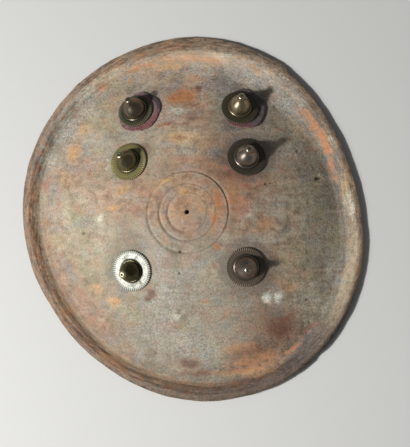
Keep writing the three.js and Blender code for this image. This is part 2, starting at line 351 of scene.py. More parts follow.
def make_hide():
    stations = hide_stations()
    zone = np.array([station[0] for station in stations])
    way, turned = np.array([station[1:] for station in stations], dtype=float).T
    still = np.zeros(len(stations))
    section = off_middle(way_out(zone, way, still, still), still, HIDE_THICKNESS / 2, turned)
    piece = finished_piece(spin_section(section[:, [0, 2]], HIDE_STEPS, True), "hide_shell")

    spun = places_of(piece)
    station = stations_of(piece)
    bearing = np.degrees(np.arctan2(spun[:, 1], spun[:, 0])) % 360
    edge_wander = EDGE_RAGGED * rough(along_rim(bearing * 0, bearing, 1), 22, 3, seed=6)
    for start, jump, back in TEARS:
        past = (bearing - start) % 360
        edge_wander += jump * smooth(0, 0.8, past) * (1 - smooth(0.3 * back, back, past))
    distance = way_out(zone[station], way[station], bearing, edge_wander)
    turned = turned[station]
    face = (turned < 90).astype(float)
    even = off_middle(distance, bearing, HIDE_THICKNESS / 2, turned) + AXIS
    relief = hide_relief(even, distance, bearing, face)
    placed = off_middle(distance, bearing, HIDE_THICKNESS / 2 + relief, turned) + AXIS
    placed[:, 2] = np.maximum(placed[:, 2], 0)
    set_places(piece, placed)
    return piece, even, distance, bearing, face


hide, on_hide, from_axis, bearings, is_face = make_hide()

# What a long life left on the hide: stains and bare spots, each with its place across and along, length,
# width, strength, and turn if it isn't 0. Ochre is rust and old varnish, and honey the same worn thin.
OCHRE = (
    (-11, 161, 46, 20, 1.1, 8), (4, 168, 30, 10, 0.8, 4), (-117, 179, 22, 13, 0.8, 50),
    (-83, 187, 10, 10, 0.7), (-63, 204, 46, 9, 1.1, 20), (18, 209, 56, 12, 1.1, 2),
    (-25, 214, 64, 7, 1, 8), (90, 197, 22, 9, 1.2, -32), (22, 4, 14, 20, 0.5),
    (155, 135, 26, 12, 1.2, -52), (168, 118, 34, 10, 1, -58), (180, 95, 40, 11, 1.1, -68),
    (190, 66, 34, 10, 1, -78), (46, 18, 12, 40, 1, 12), (44, -6, 10, 26, 0.9, -14),
    (62, 26, 26, 46, 0.7, 5), (44, -42, 10, 11, 1), (42, -20, 9, 12, 0.7), (-136, -132, 22, 16, 0.6, -35),
    (-163, -127, 24, 12, 0.95, -45), (91, -188, 66, 22, 0.8, 10), (70, -203, 74, 9, 0.8, 8),
    (136, -175, 28, 10, 1, 38), (66, -172, 50, 20, 0.7, 10), (108, -10, 28, 12, 0.65, 12),
    (100, -20, 24, 14, 0.5, -20), (-79, -142, 22, 15, 0.5, -20), (44, 66, 40, 18, 0.5, -8),
    (-180, 20, 14, 40, 0.45, 8), (208, 60, 34, 8, 0.6, -78), (222, -60, 40, 6, 0.7, 82),
    (138, -96, 18, 16, 0.6), (-2, 188, 70, 10, 0.5), (28, 96, 40, 12, 0.35, 4),
    (110, -178, 50, 30, 0.35, 20), (22, -113, 22, 8, 0.7, 8), (-100, -194, 66, 11, 0.9, -35),
    (-33, 225, 100, 9, 1, 8), (-8, 213, 110, 8, 0.9, 4),
)
HONEY = (
    (0, 102, 54, 17, 0.95, 5), (-142, 120, 26, 22, 0.8), (-156, 90, 22, 40, 0.9, -8),
    (-85, 36, 26, 10, 0.9, 20), (-93, 11, 26, 9, 1, 25), (-27, 41, 36, 9, 1, 32), (4, 28, 22, 10, 1),
    (-125, -101, 28, 26, 0.8), (-98, -115, 18, 16, 0.9), (-70, 62, 34, 14, 0.4, 25),
    (170, 42, 24, 14, 0.3), (150, 108, 30, 16, 0.5, -50), (-20, 205, 80, 14, 0.6, 4),
    (80, -206, 70, 12, 0.7, 8), (-100, 160, 40, 14, 0.4, 40), (10, -8, 18, 12, 0.5), (-5, 12, 14, 12, 0.6),
    (122, -196, 40, 8, 0.6, 34), (18, 12, 60, 40, 0.4), (-104, -184, 60, 14, 0.6, -38),
    (-6, 2, 40, 36, 0.5), (-171, 56, 30, 26, 0.55), (208, 36, 14, 40, 0.6, -6),
    (224, -84, 12, 60, 0.5, 12), (10, 210, 30, 12, 0.8), (-106, -194, 60, 12, 0.6, -33),
)
# Ash is the greyish white of dried wax and dust, over wide parts of the face
ASH = (
    (-168, 112, 50, 110, 0.9, -28), (112, 178, 120, 46, 0.9, -34), (38, 176, 70, 50, 0.8),
    (-50, 150, 60, 40, 0.5), (-30, -110, 110, 140, 0.7), (10, -175, 120, 50, 0.8), (-80, 82, 60, 40, 0.6),
    (60, 122, 34, 70, 0.7), (-10, 135, 40, 26, 0.7), (120, 95, 80, 60, 0.5), (-70, 20, 40, 30, 0.3),
    (66, -20, 26, 30, 0.5), (-178, 10, 30, 90, 0.4), (110, -60, 40, 50, 0.4), (180, -110, 60, 60, 0.4),
    (-20, 192, 50, 16, 0.5), (-130, -30, 60, 60, 0.3), (66, -110, 50, 40, 0.3), (20, 80, 60, 16, 0.4),
    (-60, 110, 44, 30, 0.5), (-120, 76, 40, 36, 0.4), (70, -11, 34, 34, 0.5), (180, 0, 50, 80, 0.4),
)
# Umber is old fat and soot, slate is where the black surface is left, bloom is where it is scuffed pale,
# and rose is where red dye got in
UMBER = (
    (-14, 160, 34, 14, 0.45, 8), (12, 136, 12, 32, 0.6, 4), (63, 50, 40, 18, 0.8, -5),
    (7, -90, 16, 11, 0.5), (-7, -145, 22, 13, 0.5, 8), (-20, -195, 12, 15, 0.6), (10, -208, 50, 10, 0.9),
    (175, 60, 9, 9, 0.8), (188, 58, 8, 8, 0.8), (-24, 61, 60, 38, 0.35, 10),
    (-140, -140, 16, 10, 0.4, -40), (62, 88, 16, 22, 0.4), (38, 96, 20, 12, 0.3),
    (-52, 110, 22, 12, 0.2, 20), (20, 60, 36, 24, 0.3, 10), (96, -130, 46, 30, 0.25, 10),
    (-35, -60, 40, 24, 0.15), (140, -128, 50, 20, 0.35, 50), (74, -192, 50, 14, 0.5, 12),
    (104, -156, 34, 18, 0.45, 35), (100, -206, 90, 14, 0.7, 16), (121, -142, 48, 44, 1.15, 45),
    (-47, -100, 12, 14, 1.25), (-51, -108, 12, 9, 1.1, 10), (13, 173, 13, 16, 1.2), (2, -194, 30, 20, 1.1),
    (84, -176, 70, 26, 0.85, 10),
)
SLATE = (
    (42, 181, 50, 36, 0.6), (100, 172, 40, 20, 0.5, -35), (-208, 71, 22, 56, 0.6, 17),
    (-165, -113, 14, 9, 0.6), (-143, -152, 30, 12, 0.95, -42), (-66, -211, 36, 10, 0.95, -16),
    (153, -167, 34, 15, 1, 42), (132, -192, 44, 11, 1, 36), (66, -217, 60, 8, 0.7, 12),
    (177, -59, 26, 34, 0.7), (185, 22, 36, 60, 0.6), (124, 45, 18, 12, 0.5), (165, -20, 40, 50, 0.35),
    (140, 60, 40, 40, 0.35), (104, -52, 24, 12, 0.4, 30), (170, -80, 30, 34, 0.35), (80, 118, 30, 12, 0.3),
    (186, -100, 20, 36, 0.4, -25), (108, -130, 26, 20, 0.35), (-30, 175, 50, 16, 0.2),
    (-196, 112, 18, 60, 0.6, 32), (176, -158, 34, 18, 0.8, 52), (152, -190, 84, 22, 1.2, 40),
    (190, 70, 28, 60, 0.7, -12),
)
BLOOM = (
    (-8, 142, 34, 14, 0.75), (-109, 62, 9, 9, 0.9), (-110, 72, 6, 6, 0.7), (-114, -2, 14, 12, 0.8),
    (45, 215, 54, 10, 0.7, -6), (128, 185, 20, 9, 1, -42), (140, 174, 14, 8, 0.8, -45),
    (189, 100, 10, 22, 0.7, 22), (214, 16, 14, 42, 0.85, 3), (199, -131, 14, 18, 0.6, -30),
    (114, 0, 12, 9, 0.7), (84, 1, 10, 12, 0.5), (-9, -129, 20, 12, 0.9, 10), (-117, -136, 12, 7, 0.6),
    (-71, -104, 18, 10, 0.4), (75, -8, 20, 14, 0.45), (104, -44, 12, 8, 0.4), (-170, -30, 36, 90, 0.35, 5),
    (-120, 30, 60, 90, 0.2), (-150, -75, 50, 40, 0.2), (10, -170, 90, 50, 0.3), (-60, -160, 50, 30, 0.25),
    (150, 150, 40, 16, 0.35, -45), (170, 50, 5, 5, 0.9), (-75, 148, 20, 20, 0.15), (3, 102, 40, 54, 0.5),
    (41, 150, 44, 34, 0.4), (136, -10, 44, 170, 0.34), (102, 4, 50, 36, 0.3), (108, -40, 50, 60, 0.36),
    (161, -114, 60, 70, 0.36), (184, -71, 40, 60, 0.34), (182, 22, 40, 60, 0.3), (-19, -112, 50, 60, 0.3),
    (-100, 22, 40, 40, 0.25), (-174, 103, 50, 50, 0.3), (-133, 176, 70, 14, 0.45, 38),
    (-6, 226, 90, 10, 0.5), (215, 83, 12, 70, 0.55, -10), (222, -45, 13, 90, 0.75, 5),
    (-40, -212, 60, 10, 0.4, -10), (105, -108, 16, 15, 1.2), (122, -106, 14, 11, 1.1, 10),
)
ROSE = (
    (-27, 120, 22, 6, 1.1, 18), (-195, 47, 14, 22, 0.8), (80, 36, 14, 12, 0.8), (56, -17, 24, 17, 0.7),
    (66, 56, 44, 40, 0.7), (70, 10, 34, 44, 0.6), (20, 60, 40, 24, 0.35), (8, 172, 22, 10, 0.6),
    (123, 27, 8, 6, 0.8), (161, -150, 34, 12, 0.6, 42), (58, -112, 5, 5, 0.6), (-40, 95, 16, 8, 0.3),
    (-50, -30, 26, 18, 0.3), (28, 22, 10, 16, 0.4), (-74, 158, 12, 6, 0.3), (190, 40, 12, 20, 0.3),
    (-178, 60, 20, 12, 0.2), (125, -150, 30, 10, 0.3, 30),
)
# Moss is where the hide has kept the yellow-green of old tallow, and tan and dim are where the whole
# surface is browner, or darker, over a hand's breadth or more
MOSS = (
    (150, -60, 60, 60, 0.5), (-60, -120, 90, 60, 0.5), (-150, -30, 60, 80, 0.4), (-120, -70, 60, 60, 0.5),
    (20, -170, 90, 40, 0.4), (60, 140, 40, 40, 0.3), (-110, 130, 60, 40, 0.3, 30), (184, 24, 60, 100, 0.5),
)
TAN = (
    (-10, 168, 150, 60, 0.6), (5, 130, 70, 100, 0.9), (-33, 205, 110, 30, 0.7, 12),
    (-140, 45, 130, 55, 0.6), (-60, 25, 150, 70, 0.8), (12, 20, 140, 100, 1), (40, 66, 130, 90, 1.3),
    (95, 10, 90, 90, 1.2), (120, 40, 110, 110, 0.5), (-165, -65, 44, 90, 0.5),
    (-125, -105, 90, 50, 0.5, -35), (110, -150, 140, 90, 0.7, 20), (115, -70, 100, 130, 0.9),
    (222, 40, 40, 120, 1.1), (175, 110, 50, 110, 0.4, 30), (40, 90, 90, 90, 0.6), (100, 100, 90, 90, 0.3),
    (-155, 75, 50, 90, 0.7), (-180, -60, 60, 140, 0.8, 15), (-140, -140, 150, 60, 1.1, -42),
    (104, -172, 110, 60, 1.2, 24), (0, -8, 60, 60, 1.3), (-8, 12, 130, 60, 1.2),
)
DIM = (
    (48, 105, 46, 130, 0.55), (105, 140, 60, 60, 0.3), (58, 66, 70, 50, 0.9), (80, -140, 100, 80, 0.55),
    (125, -170, 150, 60, 1.1, 30), (190, 45, 50, 110, 0.8), (205, -20, 30, 90, 0.5),
    (60, -222, 260, 52, 1.5, 12), (-50, -214, 170, 40, 1.3, -16), (150, -186, 120, 56, 1.5, 38),
    (-76, -60, 60, 120, 0.7), (-80, -160, 90, 60, 0.45), (10, -110, 70, 150, 0.45), (-80, 60, 50, 40, 0.5),
    (-150, -165, 130, 26, 0.8, -42), (-90, 175, 90, 40, 0.5, 35), (-26, 201, 70, 26, 0.6),
    (54, 197, 70, 26, 0.6, -8), (121, 163, 60, 34, 0.45, -35), (160, 122, 60, 40, 0.5, -50),
    (168, 60, 50, 44, 0.4), (54, 42, 50, 36, 0.55), (-120, 56, 40, 44, 0.35), (-140, -11, 40, 70, 0.35),
    (-127, -98, 60, 50, 0.35), (46, -108, 60, 70, 0.5), (36, -48, 50, 90, 0.5, 8),
    (-6, -185, 60, 28, 0.45), (94, -197, 90, 40, 1.1, 12), (154, -176, 90, 56, 1.5, 42),
)
# How dirty the hide is round each boss, and how far out from the edge of its flange
SEAT_REACH = 27
GRIME_REACH = 12.15
BOSS_GRIME = {
    "upper_left": 0.3, "upper_right": 0.5, "middle_left": 0.3,
    "middle_right": 0.8, "lower_left": 0.35, "lower_right": 1,
}


def stained(places, marks):
    """How strongly each place is stained: the finish gives each stain its ragged edge."""
    return np.maximum.reduce([
        mark[4] * (1 - smooth(0.15, 1.75, ellipse_away(places, mark))) for mark in marks
    ])


STAINS = {
    "ochre": OCHRE, "honey": HONEY, "umber": UMBER, "slate": SLATE,
    "bloom": BLOOM, "rose": ROSE, "ash": ASH, "tan": TAN, "dim": DIM, "moss": MOSS,
}
STAIN_WANDER = 7
wander = np.stack([rough(on_hide, 24, 4, seed=seed) for seed in (20, 21)] + [from_axis * 0], axis=-1)
shares = {name: is_face * stained(on_hide + STAIN_WANDER * wander, marks) for name, marks in STAINS.items()}

# Bands of colour along the rim: strength, bearing and spread, and how far inside the crest and how wide
RIM_BANDS = {
    "rim_brown": (
        (0.95, 182, 32, 4, 5), (0.75, 236, 26, 4, 8), (0.8, 262, 34, 9, 9), (0.45, 100, 38, -4, 10),
    ),
    # Slate on the rim wall: partly dark hide, partly painted shade where the wall faces away from the light
    "rim_slate": (
        (0.4, 180, 30, 9, 7), (0.6, 150, 20, 4, 7), (0.3, 244, 22, 12, 7),
        (0.7, 280, 34, 2, 7), (1, 312, 24, 2, 8),
    ),
    # Painted light on the rim, lifting the wall at the lower left and a groove at the top out of their shade
    "rim_lift": ((1, 238, 30, 12, 6), (1, 88, 26, 7, 7)),
}
inside_crest = crest_at(bearings) - from_axis
for name, bands in RIM_BANDS.items():
    shares[name] = is_face * np.maximum.reduce([
        strength * swelling(bearings, peak, spread) * hump(inside_crest, inside, width)
        for strength, peak, spread, inside, width in bands
    ])
right_band = smooth(15, 8, inside_crest) * smooth(-4, -1, inside_crest)
# A wobble in the place and strength of the painted lines along the rings
ring_wobble = 0.75 + 0.5 * rough(on_hide, 9, 3, seed=30)
past_rings = [from_axis - radius - ring_wobble + 0.75 for radius in RING_RADII]
shares |= {
    "rim": smooth(26, 6, inside_crest),
    "lip": smooth(1.5, -2.5, inside_crest),
    "lip_streak": swelling(bearings, 96, 42),
    "lip_brown": 1.3 * swelling(bearings, 196, 52),
    "lip_pale": 0.8 * swelling(bearings, 5, 45),
    # The right lip's inner wall is laid pale: partly pale hide, partly a painted highlight where the key
    # light falls on it
    "right_lip": is_face * swelling(bearings, -24, 18) * right_band,
    "low_dark": is_face * swelling(bearings, 290, 44) * smooth(20, 4, inside_crest),
    # The outer edge at the lower right is laid near black as painted shade
    "edge_dark": swelling(bearings, 318, 24) * smooth(-1.5, -4.5, inside_crest),
    # The trough inside the wall is laid darker: partly dirt, partly painted shade at the wall's foot
    "trough": is_face * hump(from_axis - foot_at(bearings), REST_WIDTH, 11),
    # Dark outside each ring's step: dirt in the moat and painted shade fading outward
    "ring_dirt": is_face * ring_wobble * np.maximum.reduce([
        ring_kept(ring, bearings) * np.maximum(
            hump(past, 1.4, 1.5), 0.6 * np.exp(-np.maximum(past, 0) / 4) * smooth(0.2, 1.4, past)
        )
        for past, ring in zip(past_rings, RING_KEPT)
    ]),
    # Pale just inside each ring's step: a painted highlight on its edge
    "ring_pale": is_face * ring_wobble * np.maximum.reduce([
        ring_kept(ring, bearings) * hump(past, -0.9, 0.9) for past, ring in zip(past_rings, RING_KEPT)
    ]),
    "boss_grime": is_face * np.maximum.reduce([
        darkening * hump(np.maximum(SEAT_REACH, from_seat(on_hide, place)), SEAT_REACH, GRIME_REACH)
        for place, darkening in BOSS_GRIME.items()
    ]),
    # The pits are laid near black: partly dirt, partly painted shade in the hollows
    "pit": is_face * np.maximum.reduce([1 - smooth(0.3, 1.15, ellipse_away(on_hide, pit)) for pit in PITS]),
    "back": 1 - is_face,
}
for name, values in shares.items():
    set_share(hide, name, values)


def paint(red, green, blue):
    """A colour as a paint chart gives it, 0 to 255, as the solid linear light that a shader takes."""
    chart = np.array([red, green, blue]) / 255
    linear = np.where(chart > 0.04045, ((chart + 0.055) / 1.055) ** 2.4, chart / 12.92)
    return (*linear.tolist(), 1)


class Shade:
    """A shader socket that takes part in sums: each operator adds the Math node for it."""

    def __init__(self, finish, socket):
        self.finish = finish
        self.socket = socket

    def math(self, operation, *values):
        return self.finish.add("ShaderNodeMath", {"operation": operation}, dict(enumerate(values)))

    def __add__(self, other):
        return self.math("ADD", self, other)

    def __sub__(self, other):
        return self.math("SUBTRACT", self, other)

    def __mul__(self, other):
        return self.math("MULTIPLY", self, other)

    def __truediv__(self, other):
        return self.math("DIVIDE", self, other)

    def __pow__(self, other):
        return self.math("POWER", self, other)

    def __rsub__(self, other):
        return self.math("SUBTRACT", other, self)

    __radd__ = __add__
    __rmul__ = __mul__

    def sine(self):
        return self.math("SINE", self)

    def between(self, low, high):
        """0 below low and 1 above high, with a smooth rise."""
        ends = {"From Min": low, "From Max": high, "Value": self}
        return self.finish.add("ShaderNodeMapRange", {"interpolation_type": "SMOOTHSTEP"}, ends)


class Finish:
    """A material built up node by node on one Principled surface."""

    def __init__(self, name, **plain):
        self.material = bpy.data.materials.new(name)
        self.material.use_nodes = True
        self.nodes = self.material.node_tree.nodes
        self.surface = self.nodes["Principled BSDF"]
        for socket, value in plain.items():
            self.surface.inputs[socket.replace("_", " ")].default_value = value
        self.place = self.add("ShaderNodeTexCoord", {}, {}, "Object")
        self.colour = None

    def add(self, kind, settings, inputs, output=0):
        """One node: its settings first, then the values or links of its sockets."""
        node = self.nodes.new(kind)
        for name, value in settings.items():
            if name == "stops":
                for _ in value[2:]:
                    node.color_ramp.elements.new(0.5)
                for element, (position, colour) in zip(node.color_ramp.elements, value):
                    element.position = position
                    element.color = (*colour[:3], 1)
            else:
                setattr(node, name, value)
        for name, value in inputs.items():
            if isinstance(value, Shade):
                self.material.node_tree.links.new(value.socket, node.inputs[name])
            else:
                node.inputs[name].default_value = value
        return Shade(self, node.outputs[output])

    def share(self, label):
        return self.add("ShaderNodeAttribute", {"attribute_name": label}, {}, "Fac")

    def noise(self, grain, detail=4, roughness=0.55, at=None, warp=0):
        """Noise with swells of a grain's size in millimetres."""
        sizes = {"Scale": 1 / (grain * MM), "Detail": detail, "Roughness": roughness, "Distortion": warp}
        return self.add("ShaderNodeTexNoise", {}, {"Vector": at or self.place, **sizes})

    def blend(self, factor, under, over, how="MIX"):
        settings = {"data_type": "RGBA", "blend_type": how}
        return self.add("ShaderNodeMix", settings, {0: factor, 6: under, 7: over}, 2)

    def lay(self, share, over, how="MIX"):
        """Lays one more colour over those laid so far, by a share of 0 to 1."""
        self.colour = self.blend(share, self.colour, over, how)

    def ramp(self, factor, *stops):
        return self.add("ShaderNodeValToRGB", {"stops": stops}, {0: factor}, "Color")

    def join(self, across, along, up):
        return self.add("ShaderNodeCombineXYZ", {}, {0: across, 1: along, 2: up})

    def split(self, vector):
        parts = self.add("ShaderNodeSeparateXYZ", {}, {0: vector})
        return [Shade(self, output) for output in parts.socket.node.outputs]

    def bump(self, height):
        """A height in millimetres, as the surface's normal."""
        return self.add("ShaderNodeBump", {}, {"Height": height * MM, "Distance": 1, "Strength": 1})

    def dress(self, **links):
        """Gives the surface the colour laid so far, and whatever else varies over it."""
        for socket, value in {"Base_Color": self.colour, **links}.items():
            self.material.node_tree.links.new(value.socket, self.surface.inputs[socket.replace("_", " ")])
        return self.material


def hide_finish():
    """Old hide: grey and cream where the black surface wore off, with soaked-in stains and fine scrapes."""
    skin = Finish("aged_hide", Specular_IOR_Level=0.35)
    x, y, _ = skin.split(skin.place)
    across, along = x - AXIS[0] * MM, y - AXIS[1] * MM
    out = (across * across + along * along) ** 0.5
    around = skin.join(across / out * 0.1, along / out * 0.1, out)
    fibres = skin.join(across / out * 0.035, along / out * 0.035, out)

    broad = skin.noise(60, 3, 0.5)
    patchy = skin.noise(24, 4, 0.48, warp=0.3)
    mottled = skin.noise(9, 3, 0.45, warp=0.2)
    speckled = skin.noise(2.4, 3, 0.68)
    scraped = skin.noise(1.7, 3, 0.6, at=around)
    streaky = skin.noise(3.2, 4, 0.6, at=fibres, warp=0.3)
    wiped = skin.noise(4.5, 4, 0.55, at=skin.join(x * 0.22 + y * 0.05, y, 0.21), warp=0.2)

    skin.colour = skin.ramp(
        patchy + (broad - 0.5) * 0.6,
        (0.3, paint(136, 122, 104)), (0.45, paint(162, 149, 126)),
        (0.6, paint(182, 170, 145)), (0.76, paint(196, 187, 162)),
    )
    brown_patches = skin.noise(24, 3, 0.42, warp=0.4)
    browned = (skin.share("tan") * 1.25 + (brown_patches - 0.5) * 2.2).between(0, 1.25)
    tan = skin.blend(mottled.between(0.35, 0.65), paint(150, 108, 80), paint(172, 136, 106))
    skin.lay(browned * 0.75, tan)
    cool = skin.noise(26, 3, 0.4, warp=0.4).between(0.42, 0.72)
    skin.lay(cool * 0.5, paint(144, 147, 146))
    mossy = (skin.share("moss") * 0.8 + skin.noise(20, 3, 0.4, warp=0.4)).between(0.45, 1.1)
    skin.lay(mossy * 0.5, paint(156, 148, 104))
    pink = skin.noise(17, 3, 0.4, warp=0.4).between(0.45, 0.75)
    skin.lay(pink * 0.4, paint(182, 130, 108))
    # The right side is laid darker: partly darker hide, partly painted shade on the flank that faces away
    # from the key light
    right_dark_and_shade = (across + along * 0.1).between(0.04, 0.195)
    skin.lay(right_dark_and_shade * 0.44, paint(98, 94, 82))
    lower_side = (0.0 - along).between(-0.02, 0.14)
    skin.lay(lower_side * 0.17, paint(92, 88, 76))
    upper_side = along.between(0.06, 0.2)
    ashen = (skin.share("ash") * 1.1 + (patchy + wiped - 1) * 1.8 + upper_side * 0.1).between(0, 1.2)
    flecked = speckled.between(0.36, 0.66)
    ash = skin.blend(flecked, paint(132, 128, 120), paint(174, 174, 168))
    # The ash is laid darker on that side too, partly as painted shade
    ash = skin.blend(right_dark_and_shade * 0.5, ash, paint(96, 94, 92))
    skin.lay(ashen * 0.55, ash)
    dim = (skin.share("dim") * 1.2 + (patchy + mottled - 1) * 1.4).between(0.1, 1.1)
    skin.lay(dim * 0.5, paint(86, 74, 64))
    grimy = (skin.share("boss_grime") * 1.2 + (patchy + mottled - 1) * 1.6).between(0.15, 1.1)
    skin.lay(grimy * 0.5, paint(82, 80, 80))

    ragged = patchy * 0.35 + mottled * 0.3 + wiped * 0.3 + scraped * 0.05 - 0.5
    for stain, ink, deep, weight in (
        ("slate", paint(100, 96, 100), paint(66, 62, 68), 0.75),
        ("rose", paint(168, 112, 92), paint(142, 66, 50), 0.75),
        ("umber", paint(124, 90, 70), paint(98, 64, 50), 0.85),
        ("honey", paint(194, 156, 108), paint(206, 152, 92), 0.75),
        ("ochre", paint(180, 130, 90), paint(184, 114, 66), 0.8),
        ("bloom", paint(190, 184, 162), paint(210, 208, 194), 0.85),
    ):
        soaked = skin.share(stain) * 1.4 + ragged * 2.6 - 0.25
        inked = skin.blend((soaked + (scraped - 0.5) * 0.6).between(0.5, 1.35), ink, deep)
        skin.lay(soaked.between(-0.1, 1.3) * weight, inked)

    # Slate on the rim wall: partly dark hide, partly painted shade
    slate_and_shade_band = (skin.share("rim_slate") * 1.2 + (mottled + speckled - 1) * 2).between(0.2, 1.1)
    skin.lay(slate_and_shade_band * 0.6, paint(88, 84, 80))
    rim = skin.share("rim")
    fibre = (streaky + (rim - 1) * 0.4).between(0.52, 0.64)
    skin.lay(fibre * 0.45, paint(190, 156, 122))
    dark_fibre = (0.49 - streaky + (rim - 1) * 0.4).between(0, 0.12)
    skin.lay(dark_fibre * 0.45, paint(96, 80, 70))
    rim_ink = skin.ramp(
        streaky,
        (0.34, paint(80, 56, 44)), (0.46, paint(118, 82, 58)),
        (0.58, paint(154, 106, 72)), (0.72, paint(172, 144, 114)),
    )
    brown_band = (skin.share("rim_brown") * 1.3 + (mottled - 0.5) * 2.4).between(0.25, 1.05)
    skin.lay(brown_band * 0.75, rim_ink)
    # Partly pale hide, partly a painted highlight on the lit right wall
    skin.lay(skin.share("right_lip") * 0.42, paint(214, 194, 156))
    lip_brown = skin.share("lip_brown")
    lip_ink = skin.blend(lip_brown, paint(140, 124, 104), paint(127, 98, 76))
    lip_streaks = skin.share("lip_streak") * patchy.between(0.4, 0.58)
    lip_ink = skin.blend(lip_streaks * 0.75, lip_ink, rim_ink)
    lip_ink = skin.blend(skin.share("lip_pale"), lip_ink, paint(182, 152, 126))
    lip_ink = skin.blend(dark_fibre * 0.6, lip_ink, paint(84, 64, 54))
    skin.lay(skin.share("lip") * 0.78, lip_ink)
    low_dark = skin.share("low_dark") * streaky.between(0.25, 0.6)
    skin.lay(low_dark * 0.75, paint(74, 58, 50))
    # Painted shade on the outer edge at the lower right
    skin.lay(skin.share("edge_dark") * 0.85, paint(46, 43, 42))

    # The trough is darkened: partly dirt, partly painted shade at the foot of the wall
    darkening = skin.share("trough") * mottled.between(0.4, 0.7)
    skin.lay(darkening * 0.15, paint(92, 86, 78))
    # A painted highlight on each ring's edge, then dirt and painted shade in its moat
    skin.lay(skin.share("ring_pale") * 0.5, paint(204, 186, 156))
    skin.lay(skin.share("ring_dirt") * 0.55, paint(76, 62, 48))
    # Partly dirt, partly painted shade in the pits
    skin.lay(skin.share("pit"), paint(30, 25, 20))

    tone = speckled * 0.5 + scraped * 0.42 + mottled * 0.35
    light = skin.ramp(tone, (0.43, (0.3, 0.3, 0.3)), (0.63, (1, 1, 1)), (0.82, (1.62, 1.62, 1.62)))
    grainy = (right_dark_and_shade + dim + rim * 0.6 + upper_side * 0.7).between(0, 1.2)
    grain_share = 0.66 + grainy * 0.28 - skin.share("ochre") * 0.3
    skin.lay(grain_share, light, "MULTIPLY")
    wipe = skin.ramp(wiped, (0.36, (0.88, 0.87, 0.86)), (0.5, (1, 1, 1)), (0.64, (1.1, 1.09, 1.08)))
    skin.lay(0.6 + upper_side * 0.4, wipe, "MULTIPLY")
    # Painted light that lifts the rim where it lies in shade
    skin.lay(skin.share("rim_lift") * 0.38, paint(208, 186, 156))
    tint = skin.noise(10, 3, 0.55, at=skin.join(y, x, 0.37))
    hue = skin.ramp(tint, (0.38, (0.96, 1.0, 1.03)), (0.5, (1, 1, 1)), (0.62, (1.04, 0.99, 0.96)))
    skin.lay(1.0, hue, "MULTIPLY")
    flesh_side = skin.ramp(patchy, (0.3, paint(104, 84, 62)), (0.7, paint(146, 122, 92)))
    skin.lay(skin.share("back") * 0.85, flesh_side)

    height = speckled * 0.4 + scraped * 0.32 + mottled * 0.7 + streaky * rim * 0.8
    shine = 0.46 + speckled * 0.3 - skin.share("slate") * 0.1
    return skin.dress(Roughness=shine, Normal=skin.bump(height))


hide.data.materials.append(hide_finish())
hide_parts("hide_disc")
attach(hide, "root")

# The cloth rounds under the two upper bosses
# Dyed cloth in a few layers, cut by eye to a rough round and clamped under the flange, once purple-red
# and now mauve with dust. Each slipped a little to one side as its boss was riveted.
CLOTH_RADIUS = 27
CLOTH_THICKNESS = 2
CLOTH_WAVES = 5
CLOTH_WAVE_DEPTH = 0.8
CLOTH_FIT = {"upper_left": (1.08, 0.16), "upper_right": (1.06, 0.22)}
CLOTH_STEPS = 160
CLOTH_TOP_STEPS = 18
CLOTH_UNDER_STEPS = 6
SHANK_RADIUS = 2.7
SHANK_CLEARANCE = 0.3
SEAT_CLEARANCE = 0.3
WEAVE_FINENESS = 6500
WEAVE_SKEW = 0.2
CLOTH_INK = {
    "upper_left": (paint(128, 92, 96), paint(86, 50, 50), paint(158, 120, 124)),
    "upper_right": (paint(92, 78, 82), paint(54, 42, 46), paint(122, 106, 112)),
}
# Where a cloth's edge is laid near black, partly a dark under-layer and partly painted shade under its
# lifted edge, and where it is frayed red: bearing, spread, and share out
CLOTH_DARK_EDGE = {"upper_left": (38, 44, 0.78), "upper_right": (-5, 60, 0.9)}
CLOTH_RED = {"upper_left": (-62, 60, 0.55), "upper_right": (-110, 50, 0.5)}


def on_face_near(seat, across, along, lift):
    """Points that far over the hide, above places on a seat's own plane."""
    local = np.stack([across, along, np.full_like(across, -HIDE_THICKNESS / 2), np.ones_like(across)])
    below = (np.array(seat) @ local)[:3].T - AXIS
    bearing = np.degrees(np.arctan2(below[:, 1], below[:, 0]))
    return off_middle(np.hypot(below[:, 0], below[:, 1]), bearing, HIDE_THICKNESS / 2 + lift) + AXIS


def cloth_finish(place):
    plain, dark, dusty = CLOTH_INK[place]
    cloth = Finish(f"mauve_cloth_{place}", Roughness=0.95, Sheen_Weight=0.4, Sheen_Roughness=0.5)
    x, y, _ = cloth.split(cloth.place)
    warp = ((x + y * WEAVE_SKEW) * WEAVE_FINENESS).sine()
    weft = ((y - x * WEAVE_SKEW) * WEAVE_FINENESS).sine()
    patchy = cloth.noise(6, 4, 0.6)
    fine = cloth.noise(1.6, 3, 0.6)
    cloth.colour = cloth.ramp(patchy * 0.7 + fine * 0.3, (0.34, dark), (0.52, plain), (0.72, dusty))
    reddened = (cloth.share("frayed") * 1.3 + (fine - 0.5) * 3).between(0.2, 1)
    red = cloth.ramp(fine, (0.44, paint(84, 30, 28)), (0.58, paint(150, 84, 76)))
    cloth.lay(reddened * 0.7, red)
    # Near black on one side of the edge: partly a dark under-layer, partly painted shade under the lifted
    # edge
    blackened = (cloth.share("blackened") * 1.3 + (fine - 0.5) * 2).between(0.2, 0.9)
    cloth.lay(blackened * 0.9, paint(44, 30, 30))
    height = warp * weft * 0.12 + patchy * 1.1 + fine * 0.4
    return cloth.dress(Normal=cloth.bump(height))


